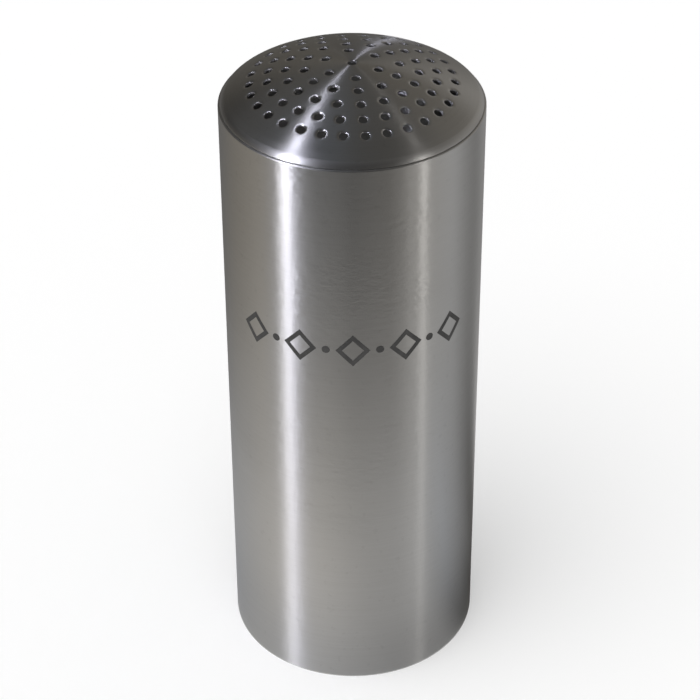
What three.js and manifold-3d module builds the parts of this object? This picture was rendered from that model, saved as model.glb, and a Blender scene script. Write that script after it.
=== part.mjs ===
// A tall steel spice shaker: a straight round can with a pressed bottom, and a perforated domed lid
// whose skirt plugs into the mouth and is gripped there by two soft rings.
// Millimetres, +Z up. The origin is the centre of the foot, and the front faces -Y.
import * as THREE from "three";
import { mergeVertices } from "three/addons/utils/BufferGeometryUtils.js";
import Module from "manifold-3d";

const wasm = await Module();
wasm.setup();

// Body tube
const bodyRadius = 38;
const bodyHeight = 186.2;
const bodyWall = 1;
const mouthRound = 0.5;
const mouthBreak = 0.2;
const footRound = 0.3;

// Base pan, a pressed disc with its rim turned down to the foot
const baseRecess = 3;
const baseWall = 0.8;
const baseInnerBend = 0.7;
const baseRimLift = 0.4;
const basePanelRadius = 29;
const basePanelStep = 0.6;
const basePanelSlope = 1.8;
const baseFitGap = 0.1;

// Domed lid
const lidRise = 12.1;
const lidWall = 0.8;
const lidInnerRound = 0.6;
const lidSetback = 0.1;
const seamGap = 0.3;

// Holes in the lid, in rings of six, twelve, eighteen and so on round a middle one
const holeRadius = 1.3;
const firstRingArc = 8.05;
const ringPitch = 5.5;
const holeMargin = 1;
const holesInFirstRing = 6;
const ringPhaseDegrees = [37.4, 7.2, 17.4, 7.2, 1.2];

// Lid skirt, with its flange under the dome and two rolled grooves
const skirtWall = 0.8;
const skirtMouthGap = 0.8;
const skirtLipGap = 0.3;
const flangeWidth = 4;
const flangeWeldGap = 0.25;
const skirtShoulder = 2.5;
const grooveHeight = 2.6;
const grooveDepth = 1.3;
const grooveFlank = 0.5;
const grooveLand = 3;
const grooveCount = 2;
const skirtTail = 1.5;
const leadInWidth = 0.8;
const leadInHeight = 1.8;

// Seal rings
const sealMouthGap = 0.25;
const sealFloorGap = 0.2;
const sealSideGap = 0.2;
const sealCrownShare = 0.6;

// Facets, cuts and the share of a wall that the rounds of its edge may take
const circleSides = 48;
const holeSides = 8;
const domeSteps = 5;
const flangeSteps = 2;
const roundSteps = 3;
const sealSteps = 4;
const cutOverrun = 0.5;
const mouthRoundLimitShare = 0.55;
const mouthBreakLimitShare = 0.25;
const footRoundLimitShare = 0.4;

// Values that several pieces share
const mouthRadius = bodyRadius - bodyWall;
const mouthEdgeRound = Math.min(mouthRound, bodyWall * mouthRoundLimitShare);
const lidRadius = bodyRadius - mouthEdgeRound - lidSetback;
const lidEdgeZ = bodyHeight + seamGap;
const lidEdgeRound = lidWall + lidInnerRound;
const lidEdgeCentreRadius = lidRadius - lidEdgeRound;
const domeRadius = sphereThroughEdge(lidRise, lidEdgeCentreRadius, lidEdgeRound);
const domeCentreZ = lidEdgeZ + lidRise - domeRadius;
const domeEdgeAngle = Math.atan2(lidEdgeCentreRadius, lidEdgeZ - domeCentreZ);
const skirtRadius = Math.min(mouthRadius - skirtMouthGap, lidRadius - lidWall - skirtLipGap);
const flangeInnerRadius = skirtRadius - flangeWidth;
const flangeSphereRadius = domeRadius - lidWall - flangeWeldGap;
const grooveSpan = grooveHeight + grooveFlank * 2;
const firstGrooveZ = bodyHeight - skirtShoulder - grooveSpan / 2;
const groovePitch = grooveSpan + grooveLand;

// Radius of the sphere with its top at rise that runs smoothly into an edge round centred at height 0
function sphereThroughEdge(rise, edgeCentreRadius, edgeRound) {
  return (edgeCentreRadius ** 2 + rise ** 2 - edgeRound ** 2) / (2 * (rise - edgeRound));
}

// Points of an arc in the profile plane, angles counted from the radial direction towards +Z
function arc(radius, z, radialSize, heightSize, from, to, steps) {
  const points = [];
  for (let i = 0; i <= steps; i += 1) {
    const angle = from + ((to - from) * i) / steps;
    points.push([radius + radialSize * Math.cos(angle), z + heightSize * Math.sin(angle)]);
  }
  return points;
}

// Arc of a sphere centred on the axis, from one polar angle to another, counted from the top
function sphereArc(radius, centreZ, from, to, steps) {
  return arc(0, centreZ, radius, radius, Math.PI / 2 - from, Math.PI / 2 - to, steps);
}

// Leaves out the triangles that a profile point on the axis collapses
function withoutCollapsed(geometry) {
  const index = geometry.index.array;
  const kept = [];
  for (let i = 0; i < index.length; i += 3) {
    const [a, b, c] = index.slice(i, i + 3);
    if (a !== b && b !== c && c !== a) {
      kept.push(a, b, c);
    }
  }
  geometry.setIndex(kept);
  return geometry;
}

// Body with shared corners only, from any three.js geometry
function welded(geometry) {
  geometry.deleteAttribute("normal");
  geometry.deleteAttribute("uv");
  return withoutCollapsed(mergeVertices(geometry));
}

// Turns a closed profile of [radius, z] points, listed anticlockwise, round the Z axis
function revolve(profile) {
  const points = profile.map(([radius, z]) => new THREE.Vector2(radius, z));
  points.push(points[0].clone());
  const geometry = new THREE.LatheGeometry(points, circleSides);
  geometry.rotateX(Math.PI / 2);
  return welded(geometry);
}

function toSolid(geometry) {
  const vertProperties = new Float32Array(geometry.attributes.position.array);
  const triVerts = new Uint32Array(geometry.index.array);
  return new wasm.Manifold(new wasm.Mesh({ numProp: 3, vertProperties, triVerts }));
}

function fromSolid(solid) {
  const mesh = solid.getMesh();
  const geometry = new THREE.BufferGeometry();
  geometry.setAttribute("position", new THREE.BufferAttribute(mesh.vertProperties, 3));
  geometry.setIndex(new THREE.BufferAttribute(mesh.triVerts, 1));
  return geometry;
}

function named(name, geometry, material) {
  geometry.computeVertexNormals();
  const mesh = new THREE.Mesh(geometry, material);
  mesh.name = name;
  return mesh;
}

function steel(color, roughness) {
  return new THREE.MeshStandardMaterial({ color, roughness, metalness: 1 });
}

// Straight tube, its mouth rounded outside and broken inside, its foot rounded outside
function bodyTube() {
  const footEdge = Math.min(footRound, bodyWall * footRoundLimitShare);
  const innerBreak = Math.min(mouthBreak, bodyWall * mouthBreakLimitShare);
  const profile = [
    [mouthRadius, 0],
    ...arc(bodyRadius - footEdge, footEdge, footEdge, footEdge, -Math.PI / 2, 0, roundSteps),
    ...arc(
      bodyRadius - mouthEdgeRound,
      bodyHeight - mouthEdgeRound,
      mouthEdgeRound,
      mouthEdgeRound,
      0,
      Math.PI / 2,
      roundSteps,
    ),
    [mouthRadius + innerBreak, bodyHeight],
    [mouthRadius, bodyHeight - innerBreak],
  ];
  return named("body_tube", revolve(profile), steel(0x9e9b95, 0.34));
}

// One face of the pan's middle, from the turned-down rim's bend to the axis
function panFace(z) {
  return [
    [basePanelRadius + basePanelSlope / 2, z],
    [basePanelRadius - basePanelSlope / 2, z + basePanelStep],
    [0, z + basePanelStep],
  ];
}

// Pressed bottom: a turned-down rim against the tube, and a panel raised in the middle
function basePan() {
  const outer = mouthRadius - baseFitGap;
  const inner = outer - baseWall;
  const outerBend = baseInnerBend + baseWall;
  const bendRadius = outer - outerBend;
  const bendZ = baseRecess + baseWall - outerBend;
  const profile = [
    [inner, baseRimLift],
    [outer, baseRimLift],
    ...arc(bendRadius, bendZ, outerBend, outerBend, 0, Math.PI / 2, roundSteps),
    ...panFace(baseRecess + baseWall),
    ...panFace(baseRecess).reverse(),
    ...arc(bendRadius, bendZ, baseInnerBend, baseInnerBend, Math.PI / 2, 0, roundSteps),
  ];
  return named("base_pan", revolve(profile), steel(0x8f8d88, 0.4));
}

// Shell of the lid: a part of a sphere that rounds over into a short upright lip
function domeShell() {
  const quarter = Math.PI / 2;
  const edgeStart = quarter - domeEdgeAngle;
  const profile = [
    ...arc(lidEdgeCentreRadius, lidEdgeZ, lidEdgeRound, lidEdgeRound, 0, edgeStart, roundSteps),
    ...sphereArc(domeRadius, domeCentreZ, domeEdgeAngle, 0, domeSteps).slice(1),
    ...sphereArc(domeRadius - lidWall, domeCentreZ, 0, domeEdgeAngle, domeSteps),
    ...arc(lidEdgeCentreRadius, lidEdgeZ, lidInnerRound, lidInnerRound, edgeStart, 0, roundSteps).slice(1),
  ];
  return revolve(profile);
}

// How many rings of holes fit between the middle hole and the skirt's flange
function ringCount() {
  const flangeArc = domeRadius * Math.asin(flangeInnerRadius / domeRadius);
  const lastRingArc = flangeArc - holeMargin - holeRadius;
  return Math.floor((lastRingArc - firstRingArc) / ringPitch) + 1;
}

// Directions of the holes as polar and azimuth angles, the middle hole first
function holeDirections() {
  const directions = [[0, 0]];
  for (let ring = 0; ring < ringCount(); ring += 1) {
    const polar = (firstRingArc + ringPitch * ring) / domeRadius;
    const count = holesInFirstRing * (ring + 1);
    const phase = THREE.MathUtils.degToRad(ringPhaseDegrees[ring % ringPhaseDegrees.length]);
    for (let i = 0; i < count; i += 1) {
      directions.push([polar, phase + (Math.PI * 2 * i) / count]);
    }
  }
  return directions;
}

// Punch that stands square to the dome at one hole
function punch(polar, azimuth) {
  const height = lidWall + cutOverrun * 2;
  const geometry = new THREE.CylinderGeometry(holeRadius, holeRadius, height, holeSides);
  geometry.rotateX(Math.PI / 2);
  geometry.translate(0, 0, domeRadius - lidWall / 2);
  geometry.rotateY(polar);
  geometry.rotateZ(azimuth);
  geometry.translate(0, 0, domeCentreZ);
  return toSolid(welded(geometry));
}

function domeCap() {
  let solid = toSolid(domeShell());
  for (const [polar, azimuth] of holeDirections()) {
    solid = solid.subtract(punch(polar, azimuth));
  }
  return named("dome_cap", fromSolid(solid), steel(0x85827d, 0.36));
}

// Height of a groove's middle
function grooveZ(index) {
  return firstGrooveZ - groovePitch * index;
}

// One groove in a face of the skirt, from above to below; spread moves its corners up and down
function groove(radius, z, spread) {
  const mouthHalf = grooveSpan / 2 + spread;
  const floorHalf = grooveHeight / 2 + spread;
  return [
    [radius, z + mouthHalf],
    [radius - grooveDepth, z + floorHalf],
    [radius - grooveDepth, z - floorHalf],
    [radius, z - mouthHalf],
  ];
}

// One face of the skirt's wall, from its shoulder down to its lead-in
function skirtFace(radius, spread) {
  const face = [];
  for (let i = 0; i < grooveCount; i += 1) {
    face.push(...groove(radius, grooveZ(i), spread));
  }
  const tailZ = grooveZ(grooveCount - 1) - grooveSpan / 2 - skirtTail;
  face.push([radius, tailZ - spread], [radius - leadInWidth, tailZ - leadInHeight]);
  return face;
}

// Top or underside of the skirt's flange, from its inner edge out to the wall
function flangeFace(sphereRadius, outerRadius) {
  const from = Math.asin(flangeInnerRadius / sphereRadius);
  const to = Math.asin(outerRadius / sphereRadius);
  return sphereArc(sphereRadius, domeCentreZ, from, to, flangeSteps);
}

// Sheet ring with a flange under the dome, two grooves for the seals and a tapered lower edge
function lidSkirt() {
  const spread = skirtWall * Math.tan(Math.atan2(grooveDepth, grooveFlank) / 2);
  const outer = [...flangeFace(flangeSphereRadius, skirtRadius), ...skirtFace(skirtRadius, 0)];
  const innerRadius = skirtRadius - skirtWall;
  const inner = [
    ...flangeFace(flangeSphereRadius - skirtWall, innerRadius),
    ...skirtFace(innerRadius, spread),
  ];
  return named("lid_skirt", revolve([...inner, ...outer.reverse()]), steel(0x8f8d88, 0.4));
}

// Soft ring, flat against the groove's floor and crowned towards the mouth
function sealRing(name, index) {
  const inner = skirtRadius - grooveDepth + sealFloorGap;
  const outer = mouthRadius - sealMouthGap;
  const crown = (outer - inner) * sealCrownShare;
  const half = grooveHeight / 2 - sealSideGap;
  const z = grooveZ(index);
  const profile = [
    [inner, z - half],
    ...arc(outer - crown, z, crown, half, -Math.PI / 2, Math.PI / 2, sealSteps),
    [inner, z + half],
  ];
  const material = new THREE.MeshStandardMaterial({ color: 0xc9c8c2, roughness: 0.55, metalness: 0 });
  return named(name, revolve(profile), material);
}

const canister = new THREE.Group();
canister.add(bodyTube(), basePan());

const lid = new THREE.Group();
lid.add(domeCap(), lidSkirt());

const lidSeals = new THREE.Group();
lidSeals.add(sealRing("upper_seal_ring", 0), sealRing("lower_seal_ring", 1));

const shaker = new THREE.Group();
shaker.add(canister, lid, lidSeals);

export default shaker;
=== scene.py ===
"""Dressed model of a tall brushed steel spice shaker with a perforated domed lid.

Every surface is worked out with numpy in metres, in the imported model's own frame: +Z up, the foot's centre at
the origin and the front towards -Y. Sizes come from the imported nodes, or are named fields.
"""

import logging
from dataclasses import dataclass, field
from enum import Enum
from math import asin, atan2, cos, pi, radians, sin, sqrt, tau

import bmesh
import bpy
import numpy as np
from bpy.types import ID, Material, Mesh, Node, NodeSocket, NodeTree, Object
from mathutils import Matrix, Vector


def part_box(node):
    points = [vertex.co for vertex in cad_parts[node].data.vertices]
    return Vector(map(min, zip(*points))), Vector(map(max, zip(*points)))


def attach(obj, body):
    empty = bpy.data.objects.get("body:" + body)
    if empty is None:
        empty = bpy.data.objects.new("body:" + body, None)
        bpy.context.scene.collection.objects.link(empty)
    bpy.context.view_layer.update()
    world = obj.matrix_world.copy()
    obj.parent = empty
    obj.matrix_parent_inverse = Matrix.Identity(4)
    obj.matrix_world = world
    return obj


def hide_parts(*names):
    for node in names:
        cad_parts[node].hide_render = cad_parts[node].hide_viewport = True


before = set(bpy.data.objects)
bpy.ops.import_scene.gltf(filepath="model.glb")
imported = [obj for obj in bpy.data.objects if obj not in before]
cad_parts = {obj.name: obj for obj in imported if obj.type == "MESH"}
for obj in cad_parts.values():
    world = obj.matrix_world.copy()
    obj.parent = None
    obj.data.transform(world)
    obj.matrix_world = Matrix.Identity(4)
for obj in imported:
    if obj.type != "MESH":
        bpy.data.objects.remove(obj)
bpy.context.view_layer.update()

LOG = logging.getLogger("spice_shaker")
MM = 0.001
QUARTER = pi / 2
MERGE_DISTANCE = 0.0005 * MM
CREASE_ANGLE = radians(38)
BLUE_PER_WARMTH = 1.6
WARM_WHITE = (1.0, 0.98, 0.95)


class Across(Enum):
    """The direction in which brushed lines follow each other."""

    HEIGHT = "up a straight wall"
    RADIUS = "outwards over a turned face"


# Shapes


@dataclass
class Surface:
    """Points and faces of one sheet, or of several joined ones, with the number of each face's finish."""

    points: np.ndarray
    faces: list[list[int]]
    finish: list[int] = field(default_factory=list)

    def __post_init__(self) -> None:
        """Gives every face the first finish where none is named."""
        self.finish = self.finish or [0] * len(self.faces)

    def joined(self, other: "Surface") -> "Surface":
        """Joins two surfaces, this one's points and faces first.

        Args:
            other: The other surface.

        Returns:
            Both as one.
        """
        start = len(self.points)
        moved = [[i + start for i in face] for face in other.faces]
        points = np.concatenate([self.points, other.points])
        return Surface(points, self.faces + moved, self.finish + other.finish)


def arc(
    centre: tuple[float, float], radius: float, start: float, end: float, steps: int, height: float = 0.0
) -> np.ndarray:
    """Points of an arc: centre + (radius cos a, height sin a) for a from start to end.

    Args:
        centre: Radius and height of the middle.
        radius: The arc's radius, or its half axis along the radius.
        start: First angle in radians, from the radial direction towards +Z.
        end: Last angle.
        steps: How many pieces the arc has.
        height: Half axis along the height, where that isn't the radius.

    Returns:
        Array of steps + 1 points (radius, height).
    """
    a = np.linspace(start, end, steps + 1)
    return np.stack([centre[0] + radius * np.cos(a), centre[1] + (height or radius) * np.sin(a)], axis=1)


def rounded(corners: np.ndarray, radius: float, steps: int) -> np.ndarray:
    """Rounds every inner corner of an open outline with an arc tangent to both of its sides.

    With unit vectors u and v from a corner along its sides, the arc's centre lies at radius / sin(half angle)
    along u + v, and the arc turns evenly from one tangent point to the other.

    Args:
        corners: Corner points, in order.
        radius: The arcs' radius.
        steps: How many pieces each arc has.

    Returns:
        Array of points, with the two ends as they were.
    """
    here = corners[1:-1]
    u = corners[:-2] - here
    v = corners[2:] - here
    u /= np.linalg.norm(u, axis=1, keepdims=True)
    v /= np.linalg.norm(v, axis=1, keepdims=True)
    middle = (u + v) / np.linalg.norm(u + v, axis=1, keepdims=True)
    half = np.arccos(np.clip((u * v).sum(axis=1), -1, 1)) / 2
    centre = here + middle * (radius / np.sin(half))[:, None]
    first = here + u * (radius / np.tan(half))[:, None] - centre
    last = here + v * (radius / np.tan(half))[:, None] - centre
    turn = (pi - 2 * half)[:, None]
    t = np.linspace(0, 1, steps + 1)[None, :]
    weights = np.sin((1 - t) * turn) / np.sin(turn), np.sin(t * turn) / np.sin(turn)
    arcs = centre[:, None] + weights[0][..., None] * first[:, None] + weights[1][..., None] * last[:, None]
    return np.concatenate([corners[:1], arcs.reshape(-1, 2), corners[-1:]])


def grid_faces(rows: int, columns: int, closed: bool) -> np.ndarray:
    """Quads of a grid of points whose columns run round and meet.

    Args:
        rows: How many rows the grid has.
        columns: How many points each row has.
        closed: Whether the last row meets the first.

    Returns:
        Array of four point numbers a quad, row by row.
    """
    i = np.arange(rows if closed else rows - 1)[:, None]
    j = np.arange(columns)[None, :]
    here, below, beside = i * columns, (i + 1) % rows * columns, (j + 1) % columns
    return np.stack([here + j, here + beside, below + beside, below + j], axis=-1).reshape(-1, 4)


def turned(profile: np.ndarray, steps: int | np.ndarray, closed: bool) -> Surface:
    """Turns a profile round Z: point (r, z) at angle a goes to (r cos a, r sin a, z).

    Args:
        profile: Points (radius, height).
        steps: How many equal steps the turn has, or the angles themselves, evenly spread.
        closed: Whether the last point joins the first, or both ends lie on the axis or on another surface.

    Returns:
        The surface, with one row of points for each profile point.
    """
    angles = full_turn(steps) if isinstance(steps, int) else steps
    radius, height = profile[:, 0, None], profile[:, 1, None]
    points = np.stack(np.broadcast_arrays(radius * np.cos(angles), radius * np.sin(angles), height), axis=-1)
    return Surface(points.reshape(-1, 3), grid_faces(len(profile), len(angles), closed).tolist())


def full_turn(steps: int) -> np.ndarray:
    """Angles of a full turn in equal steps, without the last, which is the first again."""
    return np.arange(steps) * (tau / steps)


def new_mesh(name: str, surface: Surface, *finishes: Material) -> Mesh:
    """Makes a mesh of a surface.

    Args:
        name: The mesh's name.
        surface: Its points and faces.
        finishes: Its materials, in the order of the faces' finish numbers.

    Returns:
        The mesh.
    """
    mesh = bpy.data.meshes.new(name)
    mesh.from_pydata(surface.points.tolist(), [], surface.faces)
    mesh.polygons.foreach_set("material_index", surface.finish)
    for finish in finishes:
        mesh.materials.append(finish)
    return mesh


def placed(name: str, data: ID, *hidden: str) -> Object:
    """Puts a new object into the scene.

    Args:
        name: The object's name.
        data: Its mesh, lamp or camera.
        hidden: The kinds of ray that don't see it.

    Returns:
        The object.
    """
    thing = bpy.data.objects.new(name, data)
    bpy.context.scene.collection.objects.link(thing)
    for ray in hidden:
        setattr(thing, f"visible_{ray}", False)
    return thing


def make_piece(name: str, surface: Surface, *finishes: Material) -> Object:
    """Makes one closed piece, with shared points merged and its faces outwards.

    Args:
        name: The piece's name.
        surface: Its points and faces.
        finishes: Its materials, in the order of the faces' finish numbers.

    Returns:
        The new object, at the origin, unturned and unscaled.
    """
    mesh = new_mesh(name, surface, *finishes)
    work = bmesh.new()
    work.from_mesh(mesh)
    bmesh.ops.remove_doubles(work, verts=work.verts, dist=MERGE_DISTANCE)
    if work.calc_volume(signed=True) < 0:
        bmesh.ops.reverse_faces(work, faces=work.faces)
    work.to_mesh(mesh)
    work.free()
    mesh.shade_smooth()
    mesh.set_sharp_from_angle(angle=CREASE_ANGLE)
    LOG.info("%s: %d points, %d faces", name, len(mesh.vertices), len(mesh.polygons))
    return placed(name, mesh)


# Shader groups


@dataclass
class Nodes:
    """A short way to add and join nodes of one tree."""

    tree: NodeTree

    @staticmethod
    def emptied(owner: ID) -> "Nodes":
        """Clears the nodes of a material or a world.

        Args:
            owner: The material or world.

        Returns:
            A helper that adds new nodes to it.
        """
        owner.use_nodes = True
        owner.node_tree.nodes.clear()
        return Nodes(owner.node_tree)

    @staticmethod
    def of_material(name: str) -> tuple[Material, "Nodes"]:
        """Makes a material without nodes, and returns it with a helper that adds them."""
        material = bpy.data.materials.new(name)
        return material, Nodes.emptied(material)

    def add(self, kind: str, inputs: dict | None = None, **options: object) -> Node:
        """Adds a node.

        Args:
            kind: The node's type, without its ShaderNode prefix.
            inputs: Values or sockets for its inputs, by name or number.
            options: Attributes of the node.

        Returns:
            The new node.
        """
        node = self.tree.nodes.new("ShaderNode" + kind)
        for name, value in options.items():
            setattr(node, name, value)
        for key, value in (inputs or {}).items():
            if isinstance(value, NodeSocket):
                self.tree.links.new(value, node.inputs[key])
            else:
                node.inputs[key].default_value = value
        return node

    def math(self, operation: str, *values: object) -> NodeSocket:
        """Returns the result of a Math node on numbers or sockets."""
        return self.add("Math", dict(enumerate(values)), operation=operation).outputs[0]

    def plus(self, start: object, value: object, factor: object) -> NodeSocket:
        """Returns start + value * factor."""
        return self.math("ADD", start, self.math("MULTIPLY", value, factor))

    def radius(self, x: NodeSocket, y: NodeSocket) -> NodeSocket:
        """Returns the distance of (x, y) from the axis."""
        return self.math("SQRT", self.math("ADD", self.math("POWER", x, 2.0), self.math("POWER", y, 2.0)))

    def fitted(
        self, value: object, low: float, high: float, to_low: float = 0.0, to_high: float = 1.0
    ) -> NodeSocket:
        """Returns a value carried smoothly from one range to another."""
        inputs = {"Value": value, "From Min": low, "From Max": high, "To Min": to_low, "To Max": to_high}
        return self.add("MapRange", inputs, interpolation_type="SMOOTHSTEP").outputs["Result"]

    def noise(
        self, place: object, scale: float, detail: float, roughness: float = 0.5, distortion: float = 0.0
    ) -> NodeSocket:
        """Returns the value of a Noise Texture node."""
        shape = {"Scale": scale, "Detail": detail, "Roughness": roughness, "Distortion": distortion}
        return self.add("TexNoise", {"Vector": place, **shape}).outputs[0]

    def mix(self, factor: object, first: object, second: object) -> NodeSocket:
        """Returns a colour between two colours."""
        return self.add("Mix", {"Factor": factor, 6: first, 7: second}, data_type="RGBA").outputs[2]

    def group(self, tree: NodeTree, **inputs: object) -> list[NodeSocket]:
        """Adds a node group with values or sockets for its inputs, and returns its outputs."""
        return self.add("Group", inputs, node_tree=tree).outputs

    def surface(self, kind: str, inputs: dict) -> None:
        """Adds the shader that the material shows."""
        self.add("OutputMaterial", {"Surface": self.add(kind, inputs).outputs[0]})


def new_group(
    name: str, inputs: dict[str, float], outputs: tuple[str, ...]
) -> tuple[NodeTree, Nodes, list[NodeSocket], list[NodeSocket]]:
    """Makes a shader node group with the vector input Position.

    Args:
        name: The group's name.
        inputs: Default of each float input, by name.
        outputs: Names of its float outputs.

    Returns:
        The group, a helper that adds nodes to it, the sockets of its inputs and those of its outputs.
    """
    tree = bpy.data.node_groups.new(name, "ShaderNodeTree")
    tree.interface.new_socket("Position", in_out="INPUT", socket_type="NodeSocketVector")
    for label, default in inputs.items():
        socket = tree.interface.new_socket(label, in_out="INPUT", socket_type="NodeSocketFloat")
        socket.default_value = default
    for label in outputs:
        tree.interface.new_socket(label, in_out="OUTPUT", socket_type="NodeSocketFloat")
    source, sink = tree.nodes.new("NodeGroupInput"), tree.nodes.new("NodeGroupOutput")
    return tree, Nodes(tree), source.outputs, sink.inputs


def brushing_group() -> NodeTree:
    """Builds the group of fine brushed lines that run round the Z axis.

    The lines are noise that is long round the axis and short across it: its first two coordinates are the
    unit direction from the axis times a turn count, and its third is the distance across over the pitch.

    Returns:
        A group with inputs Position, Across, Pitch and Turn, and outputs Fine and Broad, both about 0 to 1.
    """
    inputs = {"Across": 0.0, "Pitch": 0.2 * MM, "Turn": 3.0}
    tree, n, source, sink = new_group("brushed_lines", inputs, ("Fine", "Broad"))
    flat = n.add("VectorMath", {0: source["Position"], 1: (1, 1, 0)}, operation="MULTIPLY")
    unit = n.add("VectorMath", {0: flat.outputs[0]}, operation="NORMALIZE")
    x, y, _ = n.add("SeparateXYZ", {0: unit.outputs[0]}).outputs
    x, y = n.math("MULTIPLY", x, source["Turn"]), n.math("MULTIPLY", y, source["Turn"])
    for label, pitches, detail in (("Fine", 1.0, 3.0), ("Broad", 6.0, 2.0)):
        step = n.math("DIVIDE", source["Across"], n.math("MULTIPLY", source["Pitch"], pitches))
        place = n.add("CombineXYZ", {0: x, 1: y, 2: step}).outputs[0]
        tree.links.new(n.noise(place, 1.0, detail, 0.6), sink[label])
    return tree


def handling_group() -> NodeTree:
    """Builds the group of faint smears and dull patches that handling leaves.

    Returns:
        A group with inputs Position and Size, and outputs Smear and Specks, both 0 to 1.
    """
    tree, n, source, sink = new_group("handling_marks", {"Size": 30 * MM}, ("Smear", "Specks"))
    inputs = {0: source["Position"], "Scale": n.math("DIVIDE", 1.0, source["Size"])}
    place = n.add("VectorMath", inputs, operation="SCALE").outputs[0]
    smear = n.noise(place, 1.0, 4.0, 0.55, 0.6)
    specks = n.noise(place, 22.0, 2.0)
    tree.links.new(n.fitted(smear, 0.35, 0.7), sink["Smear"])
    tree.links.new(n.fitted(specks, 0.62, 0.74), sink["Specks"])
    return tree


def edge_group() -> NodeTree:
    """Builds the group that marks the bright, worn metal close to a given height.

    Returns:
        A group with inputs Position, Height and Width and output Worn: 1 near the height, 0 past the width.
    """
    tree, n, source, sink = new_group("edge_wear", {"Height": 0.0, "Width": MM}, ("Worn",))
    z = n.add("SeparateXYZ", {0: source["Position"]}).outputs[2]
    away = n.math("DIVIDE", n.math("ABSOLUTE", n.math("SUBTRACT", z, source["Height"])), source["Width"])
    reach = n.plus(away, n.noise(source["Position"], 420.0, 3.0), 0.7)
    tree.links.new(n.fitted(reach, 0.45, 1.3, 1.0, 0.0), sink["Worn"])
    return tree


@dataclass(frozen=True)
class Shop:
    """The shader node groups that the finishes share."""

    brushing: NodeTree
    handling: NodeTree
    edges: NodeTree

    @staticmethod
    def opened() -> "Shop":
        """Builds each shared group once."""
        return Shop(brushing_group(), handling_group(), edge_group())


# Finishes


def grey(level: float, warmth: float = 0.0) -> tuple[float, float, float, float]:
    """Returns a linear grey, a little yellower for a positive warmth and bluer for a negative one."""
    return (level * (1 + warmth), level, level * (1 - BLUE_PER_WARMTH * warmth), 1.0)


@dataclass(frozen=True)
class BrushedSteel:
    """Stainless steel brushed round the Z axis, which stretches a highlight across its lines."""

    name: str
    level: float
    warmth: float
    roughness: float
    anisotropy: float = 1.0
    across: Across = Across.RADIUS
    pitch: float = 0.16 * MM
    turn: float = 1.5
    line_depth: float = 0.0006 * MM
    line_shares: tuple[float, float] = (0.6, 0.4)
    line_contrast: float = 0.03
    line_range: tuple[float, float] = (0.3, 0.7)
    light_warmth: float = 0.7
    line_roughness: float = 0.02
    mark_size: float = 42 * MM
    speck_cover: float = 0.18
    speck_shade: float = 0.7
    smear_roughness: float = 0.015
    worn_heights: tuple[float, ...] = ()
    worn_width: float = 0.5 * MM
    worn_cover: float = 0.5
    worn_shade: float = 1.25
    worn_warmth: float = 0.5
    worn_polish: float = 0.1
    ripple_depth: float = 0.0
    ripple_pitch: float = 0.28 * MM
    ripple_turn: float = 12.0
    ripple_patches: float = 0.7

    def made(self, shop: Shop) -> Material:
        """Builds the material.

        Args:
            shop: The shared node groups.

        Returns:
            The material, whose colour, roughness and relief follow the brushed lines.
        """
        material, n = Nodes.of_material(self.name)
        position = n.add("TexCoord").outputs["Object"]
        x, y, across = n.add("SeparateXYZ", {0: position}).outputs
        if self.across is Across.RADIUS:
            across = n.radius(x, y)
        lines = n.group(shop.brushing, Position=position, Across=across, Pitch=self.pitch, Turn=self.turn)
        marks = n.group(shop.handling, Position=position, Size=self.mark_size)
        fine = n.math("MULTIPLY", lines["Fine"], self.line_shares[0])
        shade = n.plus(fine, lines["Broad"], self.line_shares[1])
        dark = grey(self.level * (1 - self.line_contrast), self.warmth)
        light = grey(self.level * (1 + self.line_contrast), self.warmth * self.light_warmth)
        colour = n.mix(n.fitted(shade, *self.line_range), dark, light)
        dull = grey(self.level * self.speck_shade, self.warmth)
        colour = n.mix(n.math("MULTIPLY", marks["Specks"], self.speck_cover), colour, dull)
        rough = n.plus(self.roughness - self.line_roughness / 2, shade, self.line_roughness)
        rough = n.plus(rough, marks["Smear"], self.smear_roughness)
        bright = grey(self.level * self.worn_shade, self.warmth * self.worn_warmth)
        for height in self.worn_heights:
            worn = n.group(shop.edges, Position=position, Height=height, Width=self.worn_width)["Worn"]
            colour = n.mix(n.math("MULTIPLY", worn, self.worn_cover), colour, bright)
            rough = n.plus(rough, worn, -self.worn_polish)
        relief = n.math("MULTIPLY", shade, self.line_depth / MM)
        if self.ripple_depth:
            pitch, turn = self.ripple_pitch, self.ripple_turn
            broad = n.group(shop.brushing, Position=position, Across=across, Pitch=pitch, Turn=turn)["Broad"]
            patches = n.plus(1 - self.ripple_patches, marks["Smear"], self.ripple_patches)
            relief = n.plus(relief, n.math("MULTIPLY", broad, self.ripple_depth / MM), patches)
        bump = n.add("Bump", {"Strength": 1.0, "Distance": MM, "Height": relief})
        tangent = n.add("Tangent", direction_type="RADIAL", axis="Z")
        n.surface(
            "BsdfPrincipled",
            {
                "Base Color": colour,
                "Metallic": 1.0,
                "Roughness": rough,
                "Anisotropic": self.anisotropy,
                "Anisotropic Rotation": 0.25,
                "Normal": bump.outputs[0],
                "Tangent": tangent.outputs[0],
            },
        )
        return material


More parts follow.
